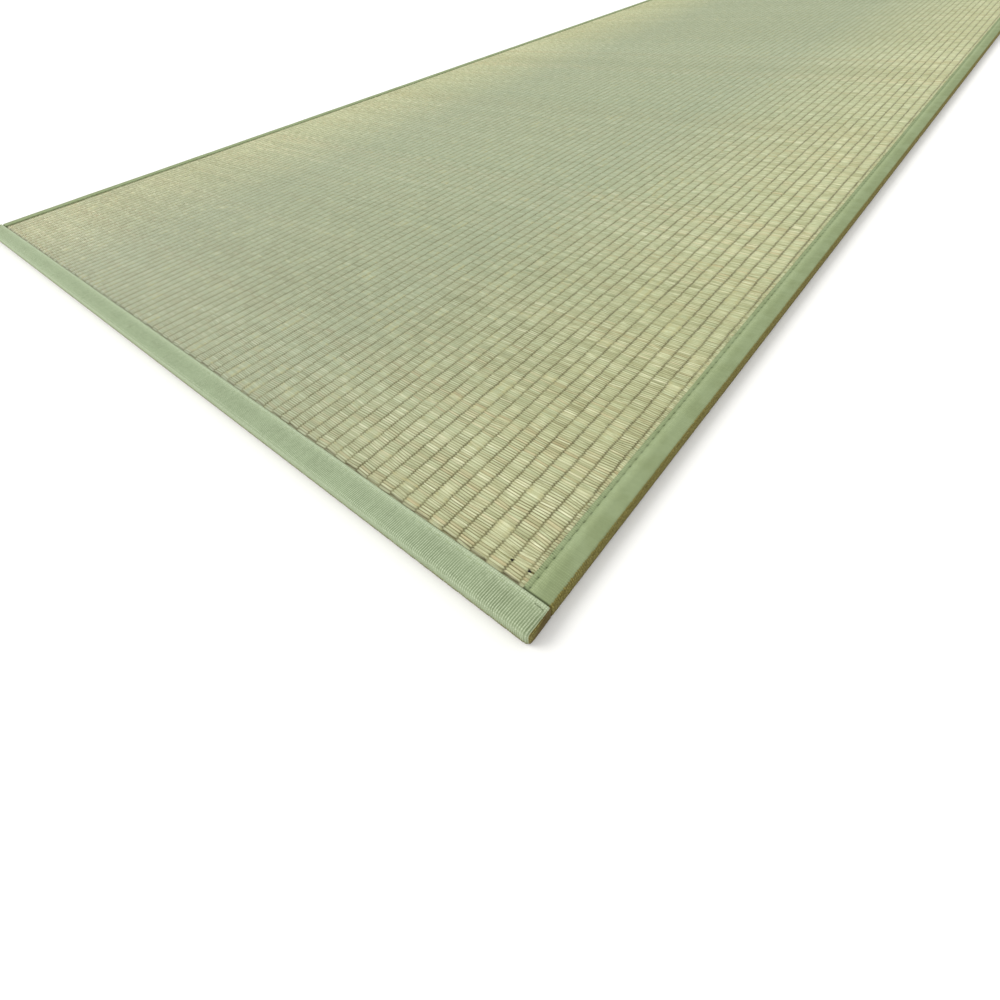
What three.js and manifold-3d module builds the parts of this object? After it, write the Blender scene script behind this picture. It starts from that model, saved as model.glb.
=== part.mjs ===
// Tatami mat: a thin woven rush mat of the one-mat size, bound with cloth tape along its four edges.
// Millimetres. X runs across the mat, Y along it and Z up. The origin is the middle of the underside.

import * as THREE from 'three';
import { mergeVertices } from 'three/addons/utils/BufferGeometryUtils.js';
import Module from 'manifold-3d';

const wasm = await Module();
wasm.setup();

// The whole mat
const MAT_WIDTH = 880;
const MAT_LENGTH = 1760;
const RUSH_HEIGHT = 12; // from the floor to the crown of a woven rib
const FIT_GAP = 0.3; // clear space between pieces that lie on each other

// The woven face: ribs run along Y, and each one ends in the sewn edge at both ends
const RIB_COUNT = 84;
const FIRST_VALLEY = 19.4; // from the mat's long edge to the first valley between two ribs
const VALLEY_DEPTH = 1.4;
const VALLEY_HALF_WIDTH = 0.9;
const SHOULDER_DROP = 0.4; // a rib is this much lower beside its valleys than at its crown
const CROWN_HALF_WIDTH = 3;

// The cloth tape
const TAPE_THICKNESS = 1;
const SIDE_TAPE_WIDTH = 16.2; // seen from above, on the two long edges
const END_TAPE_WIDTH = 16.8; // seen from above, on the two short edges
const SIDE_TAPE_RISE = 0.4; // its top above the rush
const END_TAPE_RISE = 0.8; // higher, because the short edges are bound last and lap over the long ones
const SIDE_SETBACK = 0.7; // how far the long edges lie inside the ends of the short ones
const FOLD_RADIUS = 2.2; // outside radius of the tape where it turns over an edge
const CORNER_RADIUS = 0.6; // plan radius of the flat top's corners, before the fold adds its own
const LAP_RAMP = 3; // length over which a long tape dips to go under the tape of a short edge
const CUT_BACK = 1.6; // a long tape's cut end stops this much further short of the lap's inside
const RIM_RADIUS = 1.2; // the rush panel's own edge, inside the folds
const FOLD_STEPS = 3; // facets round a fold

const RUSH_COLOUR = 0xb7b588;
const TAPE_COLOUR = 0x9dad80;

// Heights and faces that follow from the sizes above
const halfWidth = MAT_WIDTH / 2;
const halfLength = MAT_LENGTH / 2;
const endTop = RUSH_HEIGHT + END_TAPE_RISE;
const sideTop = RUSH_HEIGHT + SIDE_TAPE_RISE;
const layer = TAPE_THICKNESS + FIT_GAP;
const lappedTop = endTop - layer;
const lappedSetback = layer;

// A long tape is pressed a little flatter and narrower under the lap.
const flatter = (lappedTop - layer) / sideTop;
const narrower = (SIDE_TAPE_WIDTH - lappedSetback) / (SIDE_TAPE_WIDTH - SIDE_SETBACK);

function solidOf(geometry) {
  const bare = geometry.index ? geometry.clone() : geometry;
  bare.deleteAttribute('normal');
  bare.deleteAttribute('uv');
  const merged = mergeVertices(bare, 1e-4);
  return new wasm.Manifold(new wasm.Mesh({
    numProp: 3,
    vertProperties: new Float32Array(merged.attributes.position.array),
    triVerts: new Uint32Array(merged.index.array),
  }));
}

function geometryOf(solid) {
  const mesh = solid.getMesh();
  const geometry = new THREE.BufferGeometry();
  geometry.setAttribute('position', new THREE.BufferAttribute(new Float32Array(mesh.vertProperties), 3));
  geometry.setIndex(new THREE.BufferAttribute(new Uint32Array(mesh.triVerts), 1));
  geometry.computeVertexNormals();
  return geometry;
}

// A box between two corners, each a list of x, y and z.
function block(low, high) {
  const size = high.map((value, k) => value - low[k]);
  const box = new THREE.BoxGeometry(...size);
  box.translate(...low.map((value, k) => value + size[k] / 2));
  return solidOf(box);
}

// The outline of the woven part, seen along the ribs: a flat underside and a row of ribs on top.
function wovenSection(halfSpan) {
  const firstValley = -halfWidth + FIRST_VALLEY;
  const pitch = -2 * firstValley / RIB_COUNT;
  const shoulder = RUSH_HEIGHT - SHOULDER_DROP;
  const ribbed = [[-halfSpan, shoulder]];
  for (let i = 0; i <= RIB_COUNT; i += 1) {
    const valley = firstValley + i * pitch;
    ribbed.push([valley - VALLEY_HALF_WIDTH, shoulder]);
    ribbed.push([valley, RUSH_HEIGHT - VALLEY_DEPTH]);
    ribbed.push([valley + VALLEY_HALF_WIDTH, shoulder]);
    if (i < RIB_COUNT) {
      ribbed.push([valley + pitch / 2 - CROWN_HALF_WIDTH, RUSH_HEIGHT]);
      ribbed.push([valley + pitch / 2 + CROWN_HALF_WIDTH, RUSH_HEIGHT]);
    }
  }
  ribbed.push([halfSpan, shoulder]);
  const outline = [[-halfSpan, 0], [halfSpan, 0], ...ribbed.reverse()];
  return new THREE.Shape(outline.map(([x, z]) => new THREE.Vector2(x, z)));
}

// A flat slab with rounded corners, and with its top and bottom edges rounded over.
function roundedSlab(halfX, halfY, low, high, radius) {
  const x = halfX - radius;
  const y = halfY - radius;
  const r = CORNER_RADIUS;
  const outline = new THREE.Shape();
  outline.moveTo(-x + r, -y);
  outline.lineTo(x - r, -y);
  outline.absarc(x - r, -y + r, r, -Math.PI / 2, 0);
  outline.lineTo(x, y - r);
  outline.absarc(x - r, y - r, r, 0, Math.PI / 2);
  outline.lineTo(-x + r, y);
  outline.absarc(-x + r, y - r, r, Math.PI / 2, Math.PI);
  outline.lineTo(-x, -y + r);
  outline.absarc(-x + r, -y + r, r, Math.PI, 1.5 * Math.PI);
  const slab = new THREE.ExtrudeGeometry(outline, {
    depth: high - low - 2 * radius,
    bevelThickness: radius,
    bevelSize: radius,
    bevelSegments: FOLD_STEPS,
    curveSegments: FOLD_STEPS,
  });
  slab.translate(0, 0, low + radius);
  return solidOf(slab);
}

// The rush panel: full height between the tapes, and pressed thinner where the tapes grip its rim.
function rushPanel() {
  const halfSpan = halfWidth - SIDE_TAPE_WIDTH - FIT_GAP;
  const halfRun = halfLength - END_TAPE_WIDTH - FIT_GAP;
  const woven = new THREE.ExtrudeGeometry(wovenSection(halfSpan), { depth: 2 * halfRun, bevelEnabled: false });
  woven.rotateX(Math.PI / 2);
  woven.translate(0, halfRun, 0);
  const rimHalfLength = halfLength - layer;
  let rim = roundedSlab(halfWidth - SIDE_SETBACK - layer, rimHalfLength, layer, sideTop - layer, RIM_RADIUS);

  // At the corners two tapes lie on each other, and the rush under them is pressed further.
  const cornerRun = halfLength - END_TAPE_WIDTH - LAP_RAMP - FIT_GAP;
  for (const x of [-1, 1]) {
    for (const y of [-1, 1]) {
      const xs = [x * halfSpan, x * MAT_WIDTH].sort((a, b) => a - b);
      const ys = [y * cornerRun, y * MAT_LENGTH].sort((a, b) => a - b);
      rim = rim.subtract(block([xs[0], ys[0], 0], [xs[1], ys[1], endTop]));
    }
  }
  const pressed = TAPE_THICKNESS * flatter + FIT_GAP;
  const cornerHalfWidth = halfWidth - lappedSetback - layer;
  const core = roundedSlab(cornerHalfWidth, rimHalfLength, layer + pressed, lappedTop - pressed, RIM_RADIUS);
  return geometryOf(solidOf(woven).add(rim).add(core));
}

// The tape of a short edge: a sleeve that is closed at both ends and open towards the rush.
function endTape() {
  const t = TAPE_THICKNESS;
  const outside = roundedSlab(halfWidth, halfLength, 0, endTop, FOLD_RADIUS);
  const inside = roundedSlab(halfWidth - t, halfLength - t, t, endTop - t, FOLD_RADIUS - t);
  const reach = block([-MAT_WIDTH, -MAT_LENGTH, -1], [MAT_WIDTH, -halfLength + END_TAPE_WIDTH, endTop + 1]);
  return geometryOf(outside.subtract(inside).intersect(reach));
}

// The folded outline of a long tape: x is measured from the mat's middle and y is the height.
function sideSection() {
  const outer = halfWidth - SIDE_SETBACK;
  const inner = halfWidth - SIDE_TAPE_WIDTH;
  const t = TAPE_THICKNESS;
  const r = FOLD_RADIUS;
  const section = new THREE.Shape();
  section.moveTo(inner, 0);
  section.lineTo(outer - r, 0);
  section.absarc(outer - r, r, r, -Math.PI / 2, 0);
  section.lineTo(outer, sideTop - r);
  section.absarc(outer - r, sideTop - r, r, 0, Math.PI / 2);
  section.lineTo(inner, sideTop);
  section.lineTo(inner, sideTop - t);
  section.lineTo(outer - r, sideTop - t);
  section.absarc(outer - r, sideTop - r, r - t, Math.PI / 2, 0, true);
  section.lineTo(outer - t, r);
  section.absarc(outer - r, r, r - t, 0, -Math.PI / 2, true);
  section.lineTo(inner, t);
  return section;
}

// The tape of a long edge: it dips at both ends to pass inside the tapes of the short edges.
function sideTape() {
  const inner = halfWidth - SIDE_TAPE_WIDTH;
  const underLap = halfLength - END_TAPE_WIDTH;
  const cutEnd = halfLength - layer - CUT_BACK;
  const rampFoot = underLap - FIT_GAP;
  const rampHead = underLap - LAP_RAMP;
  const stations = [-cutEnd, -rampFoot, -rampHead, rampHead, rampFoot, cutEnd];
  const steps = stations.length - 1;
  const tape = new THREE.ExtrudeGeometry(sideSection(), {
    depth: steps, steps, bevelEnabled: false, curveSegments: FOLD_STEPS,
  });
  const place = tape.attributes.position;
  for (let i = 0; i < place.count; i += 1) {
    const station = stations[Math.round(place.getZ(i))];
    const lapped = Math.abs(station) >= rampFoot;
    const x = inner + (place.getX(i) - inner) * (lapped ? narrower : 1);
    const height = lapped ? layer + place.getY(i) * flatter : place.getY(i);
    place.setXYZ(i, x, -station, height);
  }
  return geometryOf(solidOf(tape));
}

function piece(name, geometry, colour, roughness) {
  const material = new THREE.MeshStandardMaterial({ color: colour, roughness, metalness: 0 });
  material.name = name;
  const mesh = new THREE.Mesh(geometry, material);
  mesh.name = name;
  return mesh;
}

const mat = new THREE.Group();
mat.add(piece('rush_panel', rushPanel(), RUSH_COLOUR, 0.6));

// The second tape of each pair is the first one turned half round.
for (const [name, turn] of [['binding_front', 0], ['binding_back', Math.PI]]) {
  const tape = piece(name, endTape(), TAPE_COLOUR, 0.75);
  tape.rotation.z = turn;
  mat.add(tape);
}
for (const [name, turn] of [['binding_right', 0], ['binding_left', Math.PI]]) {
  const tape = piece(name, sideTape(), TAPE_COLOUR, 0.75);
  tape.rotation.z = turn;
  mat.add(tape);
}

export default mat;
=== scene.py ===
# %% [markdown]
# # A tatami mat with a woven rush face and cloth-bound edges
# The real mat is a thin sheet of woven rush. Its four edges are folded into a ribbed cloth tape
# that is sewn through. This lesson makes the rush face strand by strand, folds the four tapes,
# sews them, and gives each a finish. The solid model of the mat is loaded first, because every
# piece has to lie exactly where that model says.

import math

import bmesh
import bpy
import numpy as np
from mathutils import Matrix, Vector


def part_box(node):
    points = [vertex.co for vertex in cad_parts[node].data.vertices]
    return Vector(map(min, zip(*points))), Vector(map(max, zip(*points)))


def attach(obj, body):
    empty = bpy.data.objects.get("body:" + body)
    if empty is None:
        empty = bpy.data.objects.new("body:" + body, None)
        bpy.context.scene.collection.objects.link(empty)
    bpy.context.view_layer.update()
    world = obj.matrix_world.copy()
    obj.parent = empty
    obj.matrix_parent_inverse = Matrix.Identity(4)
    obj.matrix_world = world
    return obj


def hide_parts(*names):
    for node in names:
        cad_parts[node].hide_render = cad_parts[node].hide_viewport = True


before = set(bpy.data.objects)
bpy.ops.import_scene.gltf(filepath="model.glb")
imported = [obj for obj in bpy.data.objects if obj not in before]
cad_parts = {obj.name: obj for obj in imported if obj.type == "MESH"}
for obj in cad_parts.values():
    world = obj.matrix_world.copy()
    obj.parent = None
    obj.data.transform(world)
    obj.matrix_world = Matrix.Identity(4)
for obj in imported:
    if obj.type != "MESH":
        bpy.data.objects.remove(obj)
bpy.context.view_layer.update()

# %% Units and the main sizes
# Sizes are in millimetres, and MM turns them to metres where a mesh or a node needs them.
MM = 0.001
PANEL_LOW, PANEL_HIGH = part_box("rush_panel")
FRONT_LOW, FRONT_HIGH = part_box("binding_front")
RIGHT_LOW, RIGHT_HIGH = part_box("binding_right")
HALF_WIDTH = FRONT_HIGH.x / MM
HALF_LENGTH = -FRONT_LOW.y / MM
RUSH_TOP = PANEL_HIGH.z / MM
END_TAPE_TOP = FRONT_HIGH.z / MM
SIDE_TAPE_TOP = RIGHT_HIGH.z / MM
END_TAPE_WIDTH = (FRONT_HIGH.y - FRONT_LOW.y) / MM
SIDE_TAPE_WIDTH = HALF_WIDTH - RIGHT_LOW.x / MM
SIDE_SETBACK = HALF_WIDTH - RIGHT_HIGH.x / MM
SIDE_TAPE_END = RIGHT_HIGH.y / MM
TAPE_THICKNESS = 1.0
FIT_GAP = 0.3
RIB_COUNT = 84
FIRST_VALLEY = 19.4
RIB_PITCH = 2 * (HALF_WIDTH - FIRST_VALLEY) / RIB_COUNT
print("half width", HALF_WIDTH, "half length", HALF_LENGTH, "rib pitch", round(RIB_PITCH, 3), "mm")

# %% [markdown]
# ## The camera
# The view is a close look at one corner. Two vanishing points fix it: the long edges of the mat
# run to one, the short edges to the other, and since the edges are square to each other the two
# points also give the focal length. One known corner and the height above the mat fix the place.

# %% Camera
PICTURE = 1000.0  # pixels along each side, counted from the top left corner
MEET_OF_SHORT_EDGES = (-275.0, 30.7)
MEET_OF_LONG_EDGES = (1164.35, -179.71)
CORNER_PIXEL = (535.0, 630.0)
CORNER_BACK = 4.8  # that pixel shows a place on the right edge, this far from the front edge
CAMERA_HEIGHT = 18.48 * RIB_PITCH  # above the rush
SENSOR = 36.0
NEAREST, FARTHEST = 0.01, 100  # what the camera sees, in metres


def set_camera():
    """Turns the two vanishing points into a camera and returns its object."""
    middle = PICTURE / 2
    meets = (MEET_OF_SHORT_EDGES, MEET_OF_LONG_EDGES)
    short_way, long_way = (Vector((x - middle, y - middle)) for x, y in meets)
    focal = math.sqrt(-short_way.dot(long_way))
    to_left = Vector((*short_way, focal)).normalized()
    to_back = Vector((*long_way, focal)).normalized()
    down = to_left.cross(to_back).normalized()
    turn = Matrix((-to_left, to_back, -down))  # from the picture's axes to the mat's
    ray = Vector((CORNER_PIXEL[0] - middle, CORNER_PIXEL[1] - middle, focal))
    corner = Vector((HALF_WIDTH, CORNER_BACK - HALF_LENGTH, RUSH_TOP)) * MM
    place = corner - turn @ (ray * (CAMERA_HEIGHT * MM / down.dot(ray)))
    data = bpy.data.cameras.new("view")
    data.sensor_width = SENSOR
    data.lens = focal / PICTURE * SENSOR
    data.clip_start, data.clip_end = NEAREST, FARTHEST
    camera = bpy.data.objects.new("view", data)
    picture_to_blender = Matrix(((1, 0, 0), (0, -1, 0), (0, 0, -1)))
    camera.matrix_world = Matrix.Translation(place) @ (turn @ picture_to_blender).to_4x4()
    bpy.context.scene.collection.objects.link(camera)
    bpy.context.scene.camera = camera
    return camera


camera = set_camera()
print("camera at", [round(v, 4) for v in camera.location], "lens", round(camera.data.lens, 2), "mm")

# %% [markdown]
# ## Helpers for joined small things
# A woven face holds tens of thousands of like pieces, far more than an operator call for each can
# make in a few seconds. Their points are worked out as arrays instead, from one rule each, and one
# mesh is made from all of them. These helpers number rows of points and fill between them.

# %% Rows of points and the faces between them
RANDOM = np.random.default_rng(7)


def smooth_step(value, low, high):
    """From 0 to 1 between two values, with a soft start and a soft end."""
    t = np.clip((np.asarray(value, float) - low) / (high - low), 0, 1)
    return t * t * (3 - 2 * t)


def slow_noise(count, wave, strength):
    """A slow random line: `count` values that wander over about `wave` steps."""
    knots = RANDOM.normal(0, strength, int(count / wave) + 4)
    return np.interp(np.arange(count) / wave, np.arange(len(knots)), knots)


def fill_rows(lower, upper):
    """Two triangles between each two neighbours of two equally long rows of point numbers."""
    a, b, c, d = lower[:-1], upper[:-1], upper[1:], lower[1:]
    return np.concatenate([np.stack([a, b, c], 1), np.stack([a, c, d], 1)])


def zip_rows(dense, coarse, cuts, dense_first):
    """Fills between a dense row and a coarse one, whose points stand at the dense row's `cuts`."""
    step = np.searchsorted(cuts, np.arange(len(dense) - 1), side="right") - 1
    fan = np.stack([dense[:-1], coarse[step], dense[1:]], 1)
    rest = np.stack([coarse[:-1], coarse[1:], dense[cuts[1:]]], 1)
    faces = np.concatenate([fan, rest])
    return faces if dense_first else faces[:, [1, 0, 2]]


# %% A mesh from rows of points
PLAIN_TONE = 0.5  # for faces without a shade of their own


class Weave:
    """Gathers rows of points, in millimetres, and the faces between them, and makes one mesh."""

    def __init__(self):
        self.spots = []
        self.marks = []
        self.faces = []
        self.tones = []
        self.plates = []
        self.count = 0

    def row(self, x, y, z, *marks):
        """Adds a row of points, each with three marks for the material, and returns their numbers."""
        columns = np.broadcast_arrays(np.asarray(x, float), y, z, *marks)
        columns = np.stack(columns, -1).reshape(-1, 6)
        self.spots.append(columns[:, :3])
        self.marks.append(columns[:, 3:])
        numbers = np.arange(self.count, self.count + len(columns))
        self.count += len(columns)
        return numbers

    def fill(self, faces, tone=PLAIN_TONE):
        """Adds triangles. `tone` is one value, or three for all of them or for each."""
        self.faces.append(faces)
        self.tones.append(np.broadcast_to(np.asarray(tone, float), (len(faces), 3)))

    def make(self, name, sharp_from=None):
        """Makes the piece. Edges whose two ends are marked `sharp_from` or more stay sharp."""
        marks = np.concatenate(self.marks)
        faces = np.concatenate(self.faces)
        tones = np.concatenate(self.tones + [np.full((len(self.plates), 3), PLAIN_TONE)])
        mesh = bpy.data.meshes.new(name)
        mesh.from_pydata((np.concatenate(self.spots) * MM).tolist(), [], faces.tolist() + self.plates)
        mesh.shade_smooth()
        mesh.attributes.new("mark", "FLOAT_VECTOR", "POINT").data.foreach_set("vector", marks.ravel())
        mesh.attributes.new("tone", "FLOAT_VECTOR", "FACE").data.foreach_set("vector", tones.ravel())
        if sharp_from is not None:
            ends = np.zeros(2 * len(mesh.edges), np.int32)
            mesh.edges.foreach_get("vertices", ends)
            sharp = (marks[ends.reshape(-1, 2), 0] >= sharp_from).all(1)
            mesh.attributes.new("sharp_edge", "BOOLEAN", "EDGE").data.foreach_set("value", sharp)
        piece = bpy.data.objects.new(name, mesh)
        bpy.context.scene.collection.objects.link(piece)
        print(name, len(mesh.vertices), "points,", len(mesh.polygons), "faces")
        return piece


# %% [markdown]
# ## The rush face
# Rush is woven over thin warp strings. Between two strings a strand lies on top, on the next rib it
# dives under, and its neighbour shows instead. So each rib shows every second strand, and the gaps
# on one rib line up with the strands of the next. A bump texture could fake this, but the holes
# and the low light across the ribs need real relief. Each float, the bit of a strand on one rib,
# gets a ridge that slopes off to both sides and both ends: eight triangles. Smooth shading makes
# the slopes look round, and sharp edges in the grooves keep the floats apart.

# %% Strands and valleys
FLOAT_SPACING = 1.715  # between floats on one rib
UNDER_END_TAPE = 4.0  # how far the weave goes on under a tape
UNDER_SIDE_TAPE = 6.2
UNEVENNESS = 0.16  # of the strands' widths

woven_half = HALF_LENGTH - END_TAPE_WIDTH + UNDER_END_TAPE
STRANDS = 2 * round(2 * woven_half / FLOAT_SPACING)
widths = np.exp(RANDOM.normal(0, UNEVENNESS, STRANDS))
strand_y = -woven_half + 2 * woven_half * np.concatenate([[0], np.cumsum(widths)]) / widths.sum()
rim = HALF_WIDTH - SIDE_TAPE_WIDTH + UNDER_SIDE_TAPE
valley_x = -HALF_WIDTH + FIRST_VALLEY + RIB_PITCH * np.arange(RIB_COUNT + 1)
valley_x = np.concatenate([[-rim], valley_x, [rim]])
print(STRANDS, "strands,", len(valley_x) - 1, "ribs")

# %% Each strand's own colour and height
# A strand keeps its colour along its whole length, so a pale one shows on every second rib. Its
# tone and its hue run from 0 to 1, and the finish of the rush turns them to colours.
STRAND_LIFT = 0.07  # how unevenly high the strands lie


def strand_shades(spread, wave, drift):
    """A value for each strand: one of its own, and a slower one that its neighbours share."""
    count = STRANDS + 1
    return np.clip(RANDOM.normal(0.5, spread, count) + slow_noise(count, wave, drift), 0, 1)


strand_tone = strand_shades(spread=0.13, wave=60, drift=0.06)
strand_hue = strand_shades(spread=0.14, wave=25, drift=0.08)
strand_lift = RANDOM.normal(0, STRAND_LIFT, STRANDS + 1)
print("strands' mean tone", round(strand_tone.mean(), 3), "and mean hue", round(strand_hue.mean(), 3))

# %% Each float's tone, hue and gaps
FLOAT_TONE = 0.09  # how much a float differs from the rest of its strand
FLOAT_HUE = 0.06
GAP = 0.74  # how dark the painted shade in the gaps beside a float is, from 0 to 1
GAP_SPREAD = 0.14
GAP_DRIFT = 0.24
GAP_WAVE = 5  # floats whose gaps are alike


def tones(strands):
    """Tone and hue of each float, from its strand and a little of its own, and how dark its gaps' painted
    shade is.
    """
    count = len(strands)
    tone = strand_tone[strands] + RANDOM.normal(0, FLOAT_TONE, count)
    hue = strand_hue[strands] + RANDOM.normal(0, FLOAT_HUE, count)
    gap = GAP + slow_noise(count, GAP_WAVE, GAP_DRIFT) + RANDOM.normal(0, GAP_SPREAD, count)
    return np.clip(np.stack([tone, hue, gap], 1), 0, 1)


# %% How deep the weave lies
RIDGE, GROOVE, HOLE = 0.0, 1.0, 2.0  # marks of depth for the material
GROOVE_DEPTH = 0.8
PRESSED = 0.95  # how much lower the rush lies under a tape

# Where the rush begins to go down and where it is down, counted outwards from a tape's inner edge
DOWN_AT_SIDE_TAPE = (-0.9, 0.6)
DOWN_AT_END_TAPE = (-3.0, -1.4)

# The strings wander a little. Each row is a wave's height in millimetres, and how fast it turns
# across and along the mat, in radians a millimetre.
WANDER = ((0.14, 0.13, 0.089), (0.10, -0.21, 0.233), (0.08, 0.31, 0.61))


def wander(x, y):
    """How far to the side a string lies of where it should."""
    return sum(height * np.sin(across * x + along * y) for height, across, along in WANDER)


def pressed(x, y):
    """How much the tapes press the rush down at a place."""
    side = HALF_WIDTH - SIDE_TAPE_WIDTH
    end = HALF_LENGTH - END_TAPE_WIDTH
    near_side = smooth_step(np.abs(x), *(side + step for step in DOWN_AT_SIDE_TAPE))
    near_end = smooth_step(np.abs(y), *(end + step for step in DOWN_AT_END_TAPE))
    return PRESSED * np.maximum(near_side, near_end)


# %% How loose the valleys are
# A float's end reaches past the middle of the valley, into the gap between the floats of the next
# rib. So the valley zigzags, by TONGUE each way.
TONGUE = 0.42
TONGUE_SPREAD = 0.14
DROP_SPREAD = 0.1  # how unevenly deep a valley is
SLIP = 0.3  # how far the strands stray along a valley, so that they lie a little aslant
SLIP_WAVE = 12  # strands that stray together
DARK = 0.62  # how dark the painted shade spots in a valley are, from 0 to 1
DARK_SPREAD = 0.45
DARK_DRIFT = 0.2
DARK_WAVE = 14
VALLEY_PRESSED = 0.7  # how far a valley goes down beside a tape, against the floats

valley_drop = RANDOM.normal(0, DROP_SPREAD, (len(valley_x), STRANDS + 1))
line_number, strand_number = np.indices(valley_drop.shape)
zigzag = np.where((line_number + strand_number) % 2, TONGUE, -TONGUE)
valley_shift = zigzag + RANDOM.normal(0, TONGUE_SPREAD, valley_drop.shape)
valley_mark = np.full(valley_drop.shape, GROOVE)
valley_slip = np.stack([slow_noise(STRANDS + 1, SLIP_WAVE, SLIP) for line in valley_x])
valley_dark = np.stack([slow_noise(STRANDS + 1, DARK_WAVE, DARK_DRIFT) for line in valley_x])
dark_spread = RANDOM.uniform(-DARK_SPREAD, DARK_SPREAD, valley_drop.shape)
valley_dark = (DARK + valley_dark + dark_spread).clip(0, 1)

# %% Two small holes near the corner, where strands have slipped apart
HOLE_VALLEYS = (-2, -3)  # counted from the right rim
HOLE_FROM_FRONT = 26.3
HOLE_DEPTH = 0.7

hole = int(np.argmin(np.abs(strand_y + HALF_LENGTH - HOLE_FROM_FRONT)))
for line in HOLE_VALLEYS:
    valley_drop[line, hole] = HOLE_DEPTH
    valley_mark[line, hole] = HOLE
    valley_dark[line, hole] = 1.0
print("holes beside strand", hole)


def valley(weave, line, straight):
    """Adds one valley's row of points, even where two sections meet, and elsewhere a little loose."""
    shift = zigzag[line] if straight else valley_shift[line]
    y = strand_y + valley_slip[line]
    x = valley_x[line] + wander(valley_x[line], y) + shift
    z = RUSH_TOP - GROOVE_DEPTH - valley_drop[line] - VALLEY_PRESSED * pressed(x, y)
    return weave.row(x, y, z, valley_mark[line], valley_dark[line], shift)


# %% The ends of the floats on one rib
FLOAT_END = 1.7  # from a valley to where a float has come up to its full height
OUTER_FLOAT_END = 5.2  # the same from the rim, which lies under a long tape
END_STRAY = 0.24  # how unevenly long the floats are
SIDE_STRAY = 0.05
FLOAT_LIFT = 0.04  # how much a float's height differs from the rest of its strand
END_LIFT = 0.03  # and each of its ends from the float
CROWN_DROP = 0.08  # how far below the solid model's crowns the floats lie, on average
DIVE = 1.35  # every second rib goes this many times as far down beside a tape
DIVE_DARK = 0.85  # and gets this much painted shadow there, from the tape's edge


def ridge_ends(weave, rib, ridges):
    """Adds the left and right ends of the ridges of one rib's floats."""
    left_reach = OUTER_FLOAT_END if rib == 0 else FLOAT_END
    right_reach = OUTER_FLOAT_END if rib == len(valley_x) - 2 else FLOAT_END
    dive, dark = (1.0, 0.0) if rib % 2 else (DIVE, DIVE_DARK)
    lift = strand_lift[ridges] + RANDOM.normal(0, FLOAT_LIFT, len(ridges))
    rows = []
    for line, x_end in ((rib, valley_x[rib] + left_reach), (rib + 1, valley_x[rib + 1] - right_reach)):
        y = strand_y[ridges] + valley_slip[line, ridges]
        x = x_end + wander(x_end, y) + RANDOM.normal(0, END_STRAY, len(ridges))
        y = y + RANDOM.normal(0, SIDE_STRAY, len(ridges))
        end_lift = RANDOM.normal(0, END_LIFT, len(ridges))
        z = RUSH_TOP - CROWN_DROP + lift + end_lift - pressed(x, y) * dive
        rows.append(weave.row(x, y, z, RIDGE, dark, 0))
    return rows


# %% One rib of floats
def rib_of_floats(weave, rib, left, right):
    """Fills one rib between two valleys. Odd ribs show the odd strands, and even ones the even."""
    first_ridge = 1 if rib % 2 else 2
    ridges = np.arange(first_ridge, STRANDS, 2)
    p, q = ridge_ends(weave, rib, ridges)
    v_low, v, v_high = left[ridges - 1], left[ridges], left[ridges + 1]
    w_low, w, w_high = right[ridges - 1], right[ridges], right[ridges + 1]
    tone = tones(ridges)
    for part in ((v_low, w_low, q), (v_low, q, p), (p, q, w_high), (p, w_high, v_high),
                 (v_low, p, v), (v, p, v_high), (w_low, w, q), (w, w_high, q)):
        weave.fill(np.stack(part, 1), tone)
    if first_ridge == 2:
        weave.fill(fill_rows(left[:2], right[:2]))
        weave.fill(fill_rows(left[-2:], right[-2:]))


# %% One section of the rush panel
# The panel is made in sections of whole ribs, parted in a valley, where no seam shows. That keeps
# each mesh light enough for other programs. Its underside stays clear of the tapes' lower flaps.
SECTIONS = 5
UNDERSIDE_STEP = 48  # strands to one point of the underside
UNDERSIDE_TONE = (0.4, 0.5, 0.2)
FOOT_HALF_LENGTH = HALF_LENGTH - END_TAPE_WIDTH - 2 * FIT_GAP
FOOT_HALF_WIDTH = HALF_WIDTH - SIDE_TAPE_WIDTH - 3 * FIT_GAP


def rush_section(name, first, last):
    """One closed section of the panel, from rib `first` up to but not with rib `last`."""
    weave = Weave()
    valleys = [valley(weave, line, line in (first, last)) for line in range(first, last + 1)]
    for rib in range(first, last):
        rib_of_floats(weave, rib, valleys[rib - first], valleys[rib - first + 1])
    cuts = np.unique(np.append(np.arange(0, STRANDS, UNDERSIDE_STEP), STRANDS))
    foot_y = np.clip(strand_y[cuts], -FOOT_HALF_LENGTH, FOOT_HALF_LENGTH)
    foot_x = np.clip(valley_x[[first, last]], -FOOT_HALF_WIDTH, FOOT_HALF_WIDTH)
    left_foot, right_foot = (weave.row(x, foot_y, 0.0, GROOVE, 0, 0) for x in foot_x)
    weave.fill(zip_rows(valleys[0], left_foot, cuts, dense_first=False), UNDERSIDE_TONE)
    weave.fill(zip_rows(valleys[-1], right_foot, cuts, dense_first=True), UNDERSIDE_TONE)
    weave.fill(fill_rows(right_foot, left_foot), UNDERSIDE_TONE)
    for end in (0, -1):
        top = np.array([row[end] for row in valleys])
        base = np.array([left_foot[end], right_foot[end]])
        weave.fill(zip_rows(top, base, np.array([0, len(top) - 1]), dense_first=end == 0))
    return weave.make(name, sharp_from=GROOVE)


# %% Make the rush face
borders = np.round(np.linspace(0, len(valley_x) - 1, SECTIONS + 1)).astype(int)
rush_pieces = []
for number in range(SECTIONS):
    first, last = int(borders[number]), int(borders[number + 1])
    section = rush_section(f"rush_face_{number + 1}", first, last)
    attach(section, "root")
    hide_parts("rush_panel")
    rush_pieces.append(section)

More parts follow.
